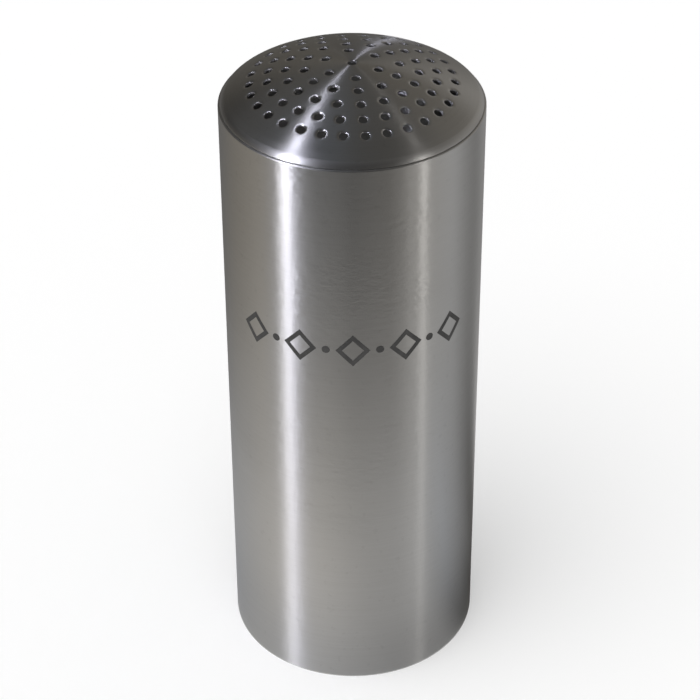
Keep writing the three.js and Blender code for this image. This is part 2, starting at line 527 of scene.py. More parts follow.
@dataclass(frozen=True)
class MilkySilicone:
    """Soft translucent white silicone with a matt skin."""

    name: str = "milky_silicone"
    level: float = 0.6
    smear_shade: float = 0.86
    roughness: float = 0.48
    smear_roughness: float = 0.12
    mark_size: float = 9 * MM
    grain_scale: float = 2600.0
    grain_depth: float = 0.02 * MM

    def made(self, shop: Shop) -> Material:
        """Builds the material.

        Args:
            shop: The shared node groups.

        Returns:
            The material, slightly uneven in colour and sheen.
        """
        material, n = Nodes.of_material(self.name)
        position = n.add("TexCoord").outputs["Object"]
        smear = n.group(shop.handling, Position=position, Size=self.mark_size)["Smear"]
        grain = n.noise(position, self.grain_scale, 2.0)
        bump = n.add("Bump", {"Strength": 0.4, "Distance": self.grain_depth, "Height": grain})
        n.surface(
            "BsdfPrincipled",
            {
                "Base Color": n.mix(smear, grey(self.level, 0.02), grey(self.level * self.smear_shade, 0.04)),
                "Roughness": n.plus(self.roughness, smear, self.smear_roughness),
                "Subsurface Weight": 0.25,
                "Subsurface Scale": 1.2 * MM,
                "Normal": bump.outputs[0],
            },
        )
        return material


@dataclass(frozen=True)
class EtchedOxide:
    """The matt dark grey that an electrolytic etch leaves on steel."""

    name: str = "etched_oxide"
    level: float = 0.042
    line_shade: float = 1.9
    roughness: float = 0.62
    line_roughness: float = 0.12
    pitch: float = 0.25 * MM
    turn: float = 4.0
    mark_size: float = 6 * MM

    def made(self, shop: Shop) -> Material:
        """Builds the material.

        Args:
            shop: The shared node groups.

        Returns:
            The material, mottled a little, with the brushed lines faintly showing.
        """
        material, n = Nodes.of_material(self.name)
        position = n.add("TexCoord").outputs["Object"]
        height = n.add("SeparateXYZ", {0: position}).outputs[2]
        lines = n.group(shop.brushing, Position=position, Across=height, Pitch=self.pitch, Turn=self.turn)
        marks = n.group(shop.handling, Position=position, Size=self.mark_size)
        shade = n.math("MULTIPLY", lines["Fine"], marks["Smear"])
        colour = n.mix(shade, grey(self.level, 0.02), grey(self.level * self.line_shade, 0.02))
        rough = n.plus(self.roughness, lines["Fine"], self.line_roughness)
        n.surface("BsdfPrincipled", {"Base Color": colour, "Roughness": rough, "Metallic": 0.0})
        return material


@dataclass(frozen=True)
class Finishes:
    """Every material of the shaker."""

    body: Material
    lid: Material
    punched: Material
    margin: Material
    edge: Material
    pressed: Material
    sleeve: Material
    silicone: Material
    etch: Material

    @staticmethod
    def mixed(shop: Shop, body_top: float) -> "Finishes":
        """Makes each material once.

        Args:
            shop: The shared node groups.
            body_top: Height of the body's mouth rim.

        Returns:
            The materials.
        """
        fine = {"pitch": 0.12 * MM, "turn": 6.0, "line_depth": 0.0008 * MM}
        coarse = {"pitch": 0.3 * MM, "turn": 3.0, "line_depth": 0.002 * MM}
        body = {"across": Across.HEIGHT, "worn_heights": (0.0, body_top), "ripple_depth": 0.1 * MM}
        recipes = {
            "body": BrushedSteel("brushed_body_steel", 0.56, 0.01, 0.305, **body),
            "lid": BrushedSteel("brushed_lid_steel", 0.54, 0.012, 0.315, ripple_depth=0.02 * MM),
            "punched": BrushedSteel("punched_steel", 0.56, 0.012, 0.66, 0.0, **fine),
            "margin": BrushedSteel("lid_margin_steel", 0.55, 0.012, 0.35, 0.95),
            "edge": BrushedSteel("rolled_edge_steel", 0.58, 0.012, 0.395, 0.82),
            "pressed": BrushedSteel("pressed_base_steel", 0.54, 0.01, 0.4, 0.7, **coarse),
            "sleeve": BrushedSteel("rolled_sleeve_steel", 0.54, 0.01, 0.36, 0.6, Across.HEIGHT, **coarse),
            "silicone": MilkySilicone(),
            "etch": EtchedOxide(),
        }
        return Finishes(**{part: recipe.made(shop) for part, recipe in recipes.items()})


# Canister


@dataclass
class Canister:
    """The straight tube with its pressed bottom and the etched ornament on its front."""

    finishes: Finishes
    radius: float = field(init=False)
    height: float = field(init=False)
    wall: float = 1.0 * MM
    foot_rounds: tuple[float, float] = (0.18 * MM, 0.15 * MM)
    mouth_rounds: tuple[float, float] = (0.45 * MM, 0.2 * MM)
    round_steps: tuple[int, ...] = (6, 8, 5, 4)
    turn_steps: int = 384
    mark_height: float = 126.5 * MM
    mark_lift: float = 0.03 * MM

    def __post_init__(self) -> None:
        """Takes the tube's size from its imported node."""
        _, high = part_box("body_tube")
        self.radius, self.height = high.x, high.z

    def build(self) -> None:
        """Makes the tube, the base and the ornament."""
        self.tube()
        PressedBase(self.finishes, self.turn_steps).build()
        self.ornament()

    def tube(self) -> None:
        """Makes the tube: a closed wall profile turned round Z, with a quarter round at each of its edges."""
        outer, inner, top = self.radius - self.mark_lift, self.radius - self.wall, self.height
        foot, small_foot = self.foot_rounds
        lip, small_lip = self.mouth_rounds
        edges = (
            ((outer - foot, foot), foot, -QUARTER),
            ((outer - lip, top - lip), lip, 0.0),
            ((inner + small_lip, top - small_lip), small_lip, QUARTER),
            ((inner + small_foot, small_foot), small_foot, pi),
        )
        arcs = [
            arc(centre, radius, start, start + QUARTER, steps)
            for (centre, radius, start), steps in zip(edges, self.round_steps)
        ]
        surface = turned(np.concatenate(arcs), self.turn_steps, True)
        counts = len(arcs[0]), len(arcs[1]) + len(arcs[2]) - 1, len(arcs[3]) + 1
        surface.finish = np.repeat(np.repeat([0, 1, 0], counts), self.turn_steps).tolist()
        piece = make_piece("brushed_tube", surface, self.finishes.body, self.finishes.edge)
        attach(piece, "canister")
        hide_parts("body_tube")

    def ornament(self) -> None:
        """Makes the etched row of plain lozenges and dots on the front."""
        row = EtchedRow(self.radius, self.radius - 2 * self.mark_lift, self.mark_height)
        piece = make_piece("etched_ornament", row.surface(), self.finishes.etch)
        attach(piece, "canister")


@dataclass
class PressedBase:
    """The bottom, pressed from sheet, with a raised panel and a turned-down rim."""

    finishes: Finishes
    turn_steps: int
    wall: float = 0.8 * MM
    bend: float = 0.7 * MM
    bend_steps: tuple[int, int] = (8, 6)
    panel: float = 29 * MM
    panel_slope: float = 1.8 * MM
    panel_step: float = 0.6 * MM
    panel_round: float = 2.5 * MM
    panel_steps: int = 5
    rim_share: float = 0.3
    rim_steps: int = 4

    def build(self) -> None:
        """Makes the base: a sheet profile from the axis out, round the bend and down to its rim."""
        low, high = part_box("base_pan")
        rim, outer, crown = low.z, high.x, high.z
        top = crown - self.panel_step
        bend = self.bend + self.wall
        slope = self.panel_slope / 2
        radii = [0, self.panel - slope, self.panel + slope, outer - bend]
        upper = np.stack([radii, [crown, crown, top, top]], axis=1)
        lower = upper[::-1] - [0, self.wall]
        inner = outer - self.wall
        edge = self.wall * self.rim_share
        profile = np.concatenate(
            [
                rounded(upper, self.panel_round, self.panel_steps),
                arc((outer - bend, top - bend), bend, QUARTER, 0, self.bend_steps[0])[1:],
                arc((outer - edge, rim + edge), edge, 0, -QUARTER, self.rim_steps),
                arc((inner + edge, rim + edge), edge, -QUARTER, -pi, self.rim_steps),
                arc((outer - bend, top - bend), self.bend, 0, QUARTER, self.bend_steps[1]),
                rounded(lower, self.panel_round, self.panel_steps)[1:],
            ]
        )
        piece = make_piece("pressed_base", turned(profile, self.turn_steps, False), self.finishes.pressed)
        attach(piece, "canister")
        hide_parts("base_pan")


@dataclass
class EtchedRow:
    """A symmetrical row of lozenges and dots, wrapped on the body, with a lozenge in the middle."""

    outer: float
    sunk: float
    height: float
    spacing: float = 7.8 * MM
    side_motifs: int = 4
    lozenge: tuple[float, float] = (5.0 * MM, 5.4 * MM)
    dot: tuple[float, float] = (1.2 * MM, 1.2 * MM)
    stroke: float = 1.35 * MM
    round_steps: int = 64

    def motif(self, x: float, half: tuple[float, float], hole: float, power: float) -> Surface:
        """Makes one flat motif, wrapped on the body.

        Its outline is the superellipse x = a sgn(c)|c|^p, z = b sgn(s)|s|^p with c and s the cosine and sine
        of the angle: power 1 gives an oval and power 2 a lozenge. A point at x along the front lies at the
        angle x / radius round the body.

        Args:
            x: Middle of the motif along the front.
            half: Half width and half height of its outline.
            hole: Share of the outline that its own hole takes, 0 for a solid motif.
            power: The power p.

        Returns:
            The motif as a thin closed plate.
        """
        angle = full_turn(self.round_steps)
        c, s = np.cos(angle), np.sin(angle)
        along = half[0] * np.sign(c) * np.abs(c) ** power
        up = half[1] * np.sign(s) * np.abs(s) ** power
        shares = np.array([hole, 1, 1, hole] if hole else [0, 0.5, 1, 1, 0.5, 0])[:, None]
        level = np.repeat([self.outer, self.sunk], len(shares) // 2)[:, None]
        turn = (x + shares * along) / self.outer
        points = np.stack([level * np.sin(turn), -level * np.cos(turn), self.height + shares * up], axis=-1)
        faces = grid_faces(len(shares), self.round_steps, hole > 0)
        return Surface(points.reshape(-1, 3), faces.tolist())

    def surface(self) -> Surface:
        """Joins the middle lozenge and the motifs on both sides of it.

        Returns:
            The whole row.
        """
        width, height = self.lozenge
        hole = 1 - self.stroke * sqrt(width**2 + height**2) / (width * height)
        whole = self.motif(0.0, self.lozenge, hole, 2.0)
        for number in range(1, self.side_motifs + 1):
            kind = (self.dot, 0.0, 1.0) if number % 2 else (self.lozenge, hole, 2.0)
            for side in (-1, 1):
                whole = whole.joined(self.motif(side * number * self.spacing, *kind))
        return whole


# Lid


@dataclass
class HoleEdge:
    """The section of one punched hole: its dished rim, its bore and its inner edge."""

    bore: float = 1.3 * MM
    dish_width: float = 0.95 * MM
    dish_depth: float = 0.26 * MM
    inner_round: float = 0.12 * MM
    dish_steps: int = 9
    inner_steps: int = 2

    def section(self, wall: float) -> tuple[np.ndarray, np.ndarray]:
        """Radii and depths from the dish's outer edge, down the bore, to the sheet's other face.

        The dish is a quarter ellipse that leaves the face level and enters the bore upright.

        Args:
            wall: Thickness of the sheet.

        Returns:
            Arrays of radii and depths.
        """
        a = np.linspace(0, QUARTER, self.dish_steps + 1)
        b = np.linspace(0, QUARTER, self.inner_steps + 1)
        radii = self.bore + self.dish_width * (1 - np.sin(a)), self.bore + self.inner_round * (1 - np.cos(b))
        depths = self.dish_depth * (1 - np.cos(a)), wall - self.inner_round * (1 - np.sin(b))
        return np.concatenate(radii), np.concatenate(depths)


@dataclass
class PerforatedDome:
    """The domed lid with its rings of holes, as one closed sheet.

    A point of the sheet has two parameters: its distance s from the top along the dome and its azimuth. The
    sheet is cut into one cell for each hole, bounded by two circles and two radii, and thin bands join the
    circles of neighbouring rings.
    """

    finishes: Finishes
    radius: float = field(init=False)
    low_z: float = field(init=False)
    sphere: float = field(init=False)
    centre_z: float = field(init=False)
    rise: float = 12.1 * MM
    wall: float = 0.8 * MM
    seat_round: float = 1.4 * MM
    edge_round: float = 4.5 * MM
    lip_round: float = 0.12 * MM
    seam: float = 0.08 * MM
    first_ring: float = 8.05 * MM
    pitch: float = 5.5 * MM
    rings: int = 5
    per_step: int = 6
    phases: tuple[float, ...] = (0.0, 37.4, 7.2, 17.4, 7.2, 1.2)
    band: float = 0.5 * MM
    side_steps: int = 8
    arc_steps: int = 10
    web_steps: int = 2
    on_sphere: float = 0.001 * MM
    rim_steps: int = 6
    edge_steps: int = 14
    lip_steps: int = 4
    inner_lip_steps: int = 3
    inner_edge_steps: int = 6
    margin_steps: int = 2
    hole: HoleEdge = field(default_factory=HoleEdge)

    def __post_init__(self) -> None:
        """Takes the lid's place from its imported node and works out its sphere.

        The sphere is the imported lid's own: it touches from inside a round of seat_round at the lid's edge.
        """
        low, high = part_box("dome_cap")
        self.radius = high.x
        self.low_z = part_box("body_tube")[1].z + self.seam
        seat = self.radius - self.seat_round
        self.sphere = (seat**2 + self.rise**2 - self.seat_round**2) / (2 * (self.rise - self.seat_round))
        self.centre_z = low.z + self.rise - self.sphere

    def lifted(self, flat: np.ndarray, depth: np.ndarray) -> np.ndarray:
        """Carries flat points onto the dome.

        A point at distance s from the middle goes to the polar angle s / sphere, and depth is measured square
        to the dome, inwards.

        Args:
            flat: Array of (x, y) on the unrolled sheet.
            depth: Depth under the outer face, of the same shape without the last axis.

        Returns:
            Array of (x, y, z).
        """
        polar = np.hypot(flat[..., 0], flat[..., 1]) / self.sphere
        azimuth = np.arctan2(flat[..., 1], flat[..., 0])
        r = self.sphere - depth
        across, height = r * np.sin(polar), self.centre_z + r * np.cos(polar)
        return np.stack([across * np.cos(azimuth), across * np.sin(azimuth), height], axis=-1)

    def ring_distance(self, ring: int) -> float:
        """Distance of a ring's holes from the top, along the dome."""
        return self.first_ring + self.pitch * (ring - 1) if ring else 0.0

    def ring_edges(self, ring: int) -> tuple[float, float]:
        """Distances of the inner and outer circle of a ring's cells, half a band short of the neighbours'.

        Args:
            ring: Number of the ring, 0 for the middle hole.

        Returns:
            Both distances from the top, along the dome.
        """
        here = self.ring_distance(ring)
        after = (here + self.ring_distance(ring + 1)) / 2 - self.band / 2
        before = (here + self.ring_distance(ring - 1)) / 2 + self.band / 2 if ring else 0.0
        return before, after

    def cell_border(self, ring: int) -> np.ndarray:
        """Border of a ring's cell that lies across +X, as flat points, counted once round.

        Args:
            ring: Number of the ring, 0 for the middle hole.

        Returns:
            Array of (x, y).
        """
        inner, outer = self.ring_edges(ring)
        if ring == 0:
            angle = full_turn(2 * (self.side_steps + self.arc_steps))
            return outer * np.stack([np.cos(angle), np.sin(angle)], axis=1)
        half = pi / (self.per_step * ring)
        corners = np.cumsum([0, self.side_steps, self.arc_steps, self.side_steps, self.arc_steps])
        place = np.arange(corners[-1])
        s = np.interp(place, corners, [inner, outer, outer, inner, inner])
        a = np.interp(place, corners, [-half, -half, half, half, -half])
        return np.stack([s * np.cos(a), s * np.sin(a)], axis=1)

    def ring_cells(self, ring: int) -> Surface:
        """Makes every cell of a ring: web, dish, bore and the same web on the inner face.

        The rows of a cell's grid are closed lines round its hole. Those of the webs lie evenly between the
        border and the dish, and the rest are circles of the hole's section.

        Args:
            ring: Number of the ring, 0 for the middle hole.

        Returns:
            The cells as one surface.
        """
        border = self.cell_border(ring)
        middle = np.array([self.ring_distance(ring), 0.0])
        ray = border - middle
        ray /= np.linalg.norm(ray, axis=1, keepdims=True)
        radii, depths = self.hole.section(self.wall)
        circles = middle + radii[:, None, None] * ray
        share = (np.arange(self.web_steps) / self.web_steps)[:, None, None]
        outer_web = border + (circles[0] - border) * share
        inner_web = (border + (circles[-1] - border) * share)[::-1]
        rows = np.concatenate([outer_web, circles, inner_web])
        row_finish = np.zeros(len(rows) - 1, dtype=int)
        row_finish[self.web_steps + self.hole.dish_steps - 1 : -self.web_steps] = 1
        depth = np.concatenate([np.zeros(self.web_steps), depths, np.full(self.web_steps, self.wall)])
        count = self.per_step * ring if ring else 1
        turn = radians(self.phases[ring]) + full_turn(count)
        c, s = np.cos(turn)[:, None, None], np.sin(turn)[:, None, None]
        x, y = rows[None, ..., 0], rows[None, ..., 1]
        flat = np.stack([x * c - y * s, x * s + y * c], axis=-1)
        points = self.lifted(flat, np.broadcast_to(depth[None, :, None], flat.shape[:-1]))
        start = np.arange(count)[:, None, None] * len(rows) * len(border)
        faces = (grid_faces(len(rows), len(border), False) + start).reshape(-1, 4)
        finish = np.tile(np.repeat(row_finish, len(border)), count)
        return Surface(points.reshape(-1, 3), faces.tolist(), finish.tolist())

    def circle_angles(self, ring: int) -> np.ndarray:
        """Azimuths of the points on a ring's circles, in order from the start of its first cell.

        Args:
            ring: Number of the ring, 0 for the middle hole.

        Returns:
            Array of angles.
        """
        if ring == 0:
            return full_turn(2 * (self.side_steps + self.arc_steps)) + radians(self.phases[0])
        count = self.per_step * ring
        return full_turn(count * self.arc_steps) + radians(self.phases[ring]) - pi / count

    def joining_band(self, ring: int, depth: float, inwards: bool) -> Surface:
        """Joins the outer circle of one ring to the inner circle of the next with one band of triangles.

        Both circles' points are sorted together by azimuth. Each point then makes a triangle with the point
        before it on its own circle and the latest one on the other.

        Args:
            ring: Number of the inner ring.
            depth: Depth of the face under the outer one.
            inwards: Whether the face looks towards the inside of the lid.

        Returns:
            The band.
        """
        near = np.sort(self.circle_angles(ring) % tau)
        far = np.sort(self.circle_angles(ring + 1) % tau)
        order = np.argsort(np.concatenate([near, far]), kind="stable")
        is_near = order < len(near)
        a = np.cumsum(is_near) - 1
        b = np.cumsum(~is_near) - 1
        first = np.where(is_near, (a - 1) % len(near), (b - 1) % len(far) + len(near))
        last = np.where(is_near, a, b + len(near))
        other = np.where(is_near, b % len(far) + len(near), a % len(near))
        swap = is_near if inwards else ~is_near
        faces = np.stack([np.where(swap, first, last), np.where(swap, last, first), other], axis=1)
        distance = np.repeat([self.ring_edges(ring)[1], self.ring_edges(ring + 1)[0]], [len(near), len(far)])
        angle = np.concatenate([near, far])
        flat = distance[:, None] * np.stack([np.cos(angle), np.sin(angle)], axis=1)
        return Surface(self.lifted(flat, np.full(len(flat), depth)), faces.tolist())

    def rim(self) -> Surface:
        """Makes the plain margin past the last ring: the dome, its edge round and lip, and the inside again.

        The edge round touches the dome and the small round of the lip from inside, so its middle lies at the
        corner of a triangle whose sides are sphere - round, round - lip and the distance between the dome's
        middle and the lip's. The inside follows one wall thickness further in. Its outer face changes over
        from the lid's finish to the margin's and to the edge's.

        Returns:
            The margin, turned round Z at the azimuths of the last ring's points.
        """
        inner, inside = self.sphere - self.wall, self.edge_round - self.wall
        turn, small = self.edge_round, self.lip_round
        lip = (self.radius - small, self.low_z + small)
        far = np.hypot(lip[0], lip[1] - self.centre_z)
        long, short = self.sphere - turn, turn - small
        corner = np.arccos((long**2 + far**2 - short**2) / (2 * long * far))
        start = QUARTER - self.ring_edges(self.rings)[1] / self.sphere
        end = atan2(lip[0], lip[1] - self.centre_z) - corner
        axis = (0.0, self.centre_z)
        middle = (long * sin(end), self.centre_z + long * cos(end))
        end = QUARTER - end
        lip_angle = asin((lip[1] - middle[1]) / short)
        inner_angle = asin((lip[1] - middle[1]) / (inside + small))
        inner_lip = (middle[0] + (inside + small) * cos(inner_angle), lip[1])
        profile = np.concatenate(
            [
                arc(axis, self.sphere, start, end, self.rim_steps),
                arc(middle, turn, end, lip_angle, self.edge_steps)[1:],
                arc(lip, small, lip_angle, -QUARTER, self.lip_steps)[1:],
                arc(inner_lip, small, -QUARTER, inner_angle - pi, self.inner_lip_steps),
                arc(middle, inside, inner_angle, end, self.inner_edge_steps)[1:],
                arc(axis, inner, end, start, self.rim_steps)[1:],
            ]
        )
        angles = self.circle_angles(self.rings)
        surface = turned(profile[::-1], angles, False)
        rows = np.zeros(len(profile) - 1, dtype=int)
        rows[self.rim_steps - self.margin_steps :] = 2
        rows[self.rim_steps + self.margin_steps :] = 3
        rows[self.rim_steps + self.edge_steps + self.lip_steps + self.inner_lip_steps :] = 0
        surface.finish = np.repeat(rows[::-1], len(angles)).tolist()
        return surface

    def polish(self, mesh: Mesh) -> None:
        """Gives every corner on the sheet's two spherical faces the sphere's own normal.

        The normal is the direction from the sphere's middle on the outer face, and its opposite on the inner.

        Args:
            mesh: The dome's mesh.
        """
        points = np.empty(len(mesh.vertices) * 3, dtype=np.float32)
        mesh.vertices.foreach_get("co", points)
        normals = np.empty(len(mesh.loops) * 3, dtype=np.float32)
        mesh.corner_normals.foreach_get("vector", normals)
        vertex = np.empty(len(mesh.loops), dtype=np.int32)
        mesh.loops.foreach_get("vertex_index", vertex)
        away = points.reshape(-1, 3) - np.array([0, 0, self.centre_z])
        distance = np.linalg.norm(away, axis=1)
        straight = away / distance[:, None]
        normals = normals.reshape(-1, 3)
        for level, side in ((self.sphere, 1.0), (self.sphere - self.wall, -1.0)):
            chosen = np.abs(distance - level)[vertex] < self.on_sphere
            normals[chosen] = side * straight[vertex[chosen]]
        mesh.normals_split_custom_set(normals.tolist())

    def build(self) -> None:
        """Makes the dome from its cells, bands and margin."""
        whole = self.rim()
        for ring in range(self.rings + 1):
            whole = whole.joined(self.ring_cells(ring))
        for ring in range(self.rings):
            whole = whole.joined(self.joining_band(ring, 0.0, False))
            whole = whole.joined(self.joining_band(ring, self.wall, True))
        steels = self.finishes.lid, self.finishes.punched, self.finishes.margin, self.finishes.edge
        piece = make_piece("perforated_dome", whole, *steels)
        self.polish(piece.data)
        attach(piece, "lid")
        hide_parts("dome_cap")


@dataclass
class PlugSkirt:
    """The sheet ring under the dome, with a flange, two rolled grooves and a tapered lower edge."""

    finishes: Finishes
    dome: PerforatedDome
    radius: float = field(init=False)
    bottom: float = field(init=False)
    grooves: list[float] = field(init=False)
    wall: float = 0.8 * MM
    weld_gap: float = 0.25 * MM
    flange: float = 4.0 * MM
    flange_steps: int = 6
    groove_height: float = 2.6 * MM
    groove_depth: float = 1.3 * MM
    groove_flank: float = 0.5 * MM
    lead_width: float = 0.8 * MM
    lead_height: float = 1.8 * MM
    corner: float = 0.22 * MM
    corner_steps: int = 4
    turn_steps: int = 288

    def __post_init__(self) -> None:
        """Takes the skirt's radius and lower edge, and the grooves' heights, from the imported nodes."""
        low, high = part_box("lid_skirt")
        self.radius, self.bottom = high.x, low.z
        rings = (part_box(f"{name}_seal_ring") for name in ("upper", "lower"))
        self.grooves = [sum(corner.z for corner in ring) / 2 for ring in rings]

    def face(self, radius: float, spread: float) -> np.ndarray:
        """One face of the wall from the upper groove down to the lower edge.

        Args:
            radius: The face's radius.
            spread: How far the corners move up and down, so that the sheet keeps its thickness.

        Returns:
            Corner points (radius, height).
        """
        mouth = self.groove_height / 2 + self.groove_flank + spread
        floor = self.groove_height / 2 + spread
        heights = [z + d for z in self.grooves for d in (mouth, floor, -floor, -mouth)]
        radii = [radius, radius - self.groove_depth, radius - self.groove_depth, radius] * len(self.grooves)
        radii += [radius, radius - self.lead_width]
        heights += [self.bottom + self.lead_height - spread, self.bottom]
        return np.stack([radii, heights], axis=1)

    def flange_top(self, depth: float, radius: float) -> np.ndarray:
        """Face of the flange, along a sphere under the dome, from its inner edge out to the wall.

        Args:
            depth: Depth of the face under the flange's upper one.
            radius: The wall's radius.

        Returns:
            Array of points (radius, height).
        """
        sphere = self.dome.sphere - self.dome.wall - self.weld_gap - depth
        start = np.arcsin((self.radius - self.flange) / sphere)
        end = np.arcsin(radius / sphere)
        return arc((0.0, self.dome.centre_z), sphere, QUARTER - start, QUARTER - end, self.flange_steps)

    def build(self) -> None:
        """Makes the skirt: two offset faces with rounded corners, joined and turned round Z."""
        spread = self.wall * np.tan(atan2(self.groove_depth, self.groove_flank) / 2)
        sides = []
        for depth, widening in ((0.0, 0.0), (self.wall, spread)):
            radius = self.radius - depth
            side = np.concatenate([self.flange_top(depth, radius), self.face(radius, widening)])
            sides.append(rounded(side, self.corner, self.corner_steps))
        surface = turned(np.concatenate([sides[0], sides[1][::-1]]), self.turn_steps, True)
        piece = make_piece("plug_skirt", surface, self.finishes.sleeve)
        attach(piece, "lid")
        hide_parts("lid_skirt")


@dataclass
class SealRing:
    """A silicone ring, flat inside and crowned outside."""

    finishes: Finishes
    name: str
    node: str
    seat_radius: float = 35.1 * MM
    crown_share: float = 0.6
    crown_steps: int = 20
    corner: float = 0.25 * MM
    corner_steps: int = 4
    turn_steps: int = 288

    def build(self) -> None:
        """Makes the ring: a rectangle with an elliptic crown, turned round Z."""
        low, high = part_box(self.node)
        middle, half = (low.z + high.z) / 2, (high.z - low.z) / 2
        crown = (high.x - self.seat_radius) * self.crown_share
        small, steps = self.corner, self.corner_steps
        inner = self.seat_radius + small
        profile = np.concatenate(
            [
                arc((high.x - crown, middle), crown, -QUARTER, QUARTER, self.crown_steps, half),
                arc((inner, high.z - small), small, QUARTER, pi, steps),
                arc((inner, low.z + small), small, pi, 3 * QUARTER, steps),
            ]
        )
        piece = make_piece(self.name, turned(profile, self.turn_steps, True), self.finishes.silicone)
        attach(piece, "lid_seals")
        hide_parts(self.node)


# Studio


@dataclass(frozen=True)
class Strip:
    """An area lamp that stands round the shaker and faces it."""

    name: str
    azimuth: float
    distance: float
    height: float
    width: float
    length: float
    power: float
    colour: tuple[float, float, float]
    aim: float = 0.12

    def build(self) -> None:
        """Makes the lamp, seen by glossy surfaces only, at its azimuth from the front, to the right."""
        lamp = bpy.data.lights.new(self.name, "AREA")
        lamp.shape = "RECTANGLE"
        lamp.size, lamp.size_y = self.width, self.length
        lamp.energy, lamp.color = self.power, self.colour
        thing = placed(self.name, lamp, "camera", "diffuse", "transmission")
        angle = radians(self.azimuth)
        place = Vector((self.distance * sin(angle), -self.distance * cos(angle), self.height))
        facing = Vector((0, 0, self.aim)) - place
        thing.matrix_world = Matrix.Translation(place) @ facing.to_track_quat("-Z", "Y").to_matrix().to_4x4()


@dataclass(frozen=True)
class Band:
    """One level of the surround: its grey and warmth at azimuths from the front, to the right."""

    name: str
    stops: tuple[tuple[float, float, float], ...]

    def ramp(self, n: Nodes, share: NodeSocket) -> NodeSocket:
        """Adds the band's colour ramp, which ends at azimuth 180 as it began at -180.

        Args:
            n: Helper of the material's nodes.
            share: Place round the shaker, 0 at azimuth -180 and 1 at 180.

        Returns:
            The band's colour.
        """
        node = n.add("ValToRGB", {0: share}, name=self.name)
        elements = node.color_ramp.elements
        stops = self.stops + ((180, *self.stops[0][1:]),)
        while len(elements) < len(stops):
            elements.new(0.5)
        for element, (azimuth, level, warmth) in zip(elements, stops):
            element.position, element.color = azimuth / 360 + 0.5, grey(level, warmth)
        return node.outputs[0]


# Stops of the surround's bands, from the floor up: azimuth in degrees, level and warmth. Most are rounded
# results of a program that fitted the reflections on the steel to the photograph, and some are set one by one.

CONTACT = (
    (-180, 0.24, -0.02), (-110, 0.45, -0.04), (-60, 0.6, 0), (-20, 0.65, 0), (20, 0.45, 0), (55, 0.34, 0),
    (75, 0.1, 0), (100, 0, 0), (140, 0.07, 0),
)
NEAR_FLOOR = (
    (-180, 0.32, 0), (-140, 0.55, -0.02), (-100, 0.7, 0), (-60, 0.85, 0.04), (-25, 0.9, 0.04),
    (10, 0.75, 0.02), (50, 0.7, 0), (75, 0.6, -0.04), (95, 0.36, -0.02), (115, 0.09, 0), (129, 0.1, 0),
    (137, 0.9, 0), (160, 0.6, 0),
)
FAR_FLOOR = (
    (-180, 0.16, 0), (-140, 0.24, 0.02), (-110, 0.34, 0.08), (-80, 0.45, 0.08), (-54, 0.45, 0),
    (-30, 0.2, -0.02), (0, 0.1, 0.02), (30, 0.18, 0.06), (60, 0.55, 0.04), (90, 0.6, 0), (115, 0.3, 0),
    (126, 0.24, 0), (134, 0.38, 0), (152, 0.34, 0), (166, 0.2, 0),
)
LOW_WALLS = (
    (-180, 0.16, 0.08), (-130, 0, 0.02), (-95, 0, 0), (-70, 0.05, 0), (-45, 0.05, 0), (-20, 0.04, 0),
    (5, 0.05, 0), (40, 0.06, 0), (80, 0.24, 0.02), (120, 0.36, 0.04), (150, 0.4, 0.04),
)
WALLS = (
    (-180, 0.12, 0.06), (-140, 0.12, 0), (-100, 0.12, -0.04), (-65, 0.08, -0.02), (-30, 0.03, 0),
    (10, 0.03, 0), (60, 0.07, 0.02), (110, 0.18, 0.06), (150, 0.14, 0.1),
)
CEILING = ((-180, 0.14, -0.02), (-90, 0.18, -0.1), (0, 0.105, 0), (90, 0.1, 0.06))


@dataclass
class Surround:
    """Dark cards under, round and over the shaker, which only its reflections see."""

    hole: float = 38.15 * MM
    lift: float = 0.1 * MM
    radius: float = 2.5
    height: float = 2.4
    turn_steps: int = 96
    eye: float = 0.1
    borders: tuple[tuple[float, float], ...] = ((-62, -50), (-42, -18), (-8, 4), (20, 34), (46, 66))
    bands: tuple[Band, ...] = (
        Band("contact", CONTACT),
        Band("near_floor", NEAR_FLOOR),
        Band("far_floor", FAR_FLOOR),
        Band("low_walls", LOW_WALLS),
        Band("walls", WALLS),
        Band("ceiling", CEILING),
    )

    def build(self) -> None:
        """Makes the cards as one turned surface: a ring just over the floor, a wall and a ceiling."""
        near, far, high = self.hole, self.radius, self.height
        profile = np.array([[near, self.lift], [far, self.lift], [far, high], [near, high], [0, high]])
        mesh = new_mesh("dark_cards", turned(profile, self.turn_steps, False), self.material())
        thing = placed("dark_cards", mesh, "camera", "diffuse", "transmission", "shadow")

    def material(self) -> Material:
        """Makes the cards' glow, whose bands blend into each other at given elevations.

        The elevation of a point is the angle above the horizontal at which a spot at half the shaker's height
        sees it.

        Returns:
            The material.
        """
        material, n = Nodes.of_material("dark_card")
        x, y, z = n.add("SeparateXYZ", {0: n.add("TexCoord").outputs["Object"]}).outputs
        azimuth = n.math("ARCTAN2", x, n.math("MULTIPLY", y, -1.0))
        share = n.math("ADD", n.math("DIVIDE", azimuth, tau), 0.5)
        elevation = n.math("ARCTAN2", n.math("SUBTRACT", z, self.eye), n.radius(x, y))
        colour = self.bands[0].ramp(n, share)
        for band, (low, high) in zip(self.bands[1:], self.borders):
            above = n.fitted(elevation, radians(low), radians(high))
            colour = n.mix(above, colour, band.ramp(n, share))
        n.surface("Emission", {"Color": colour, "Strength": 1.0})
        return material


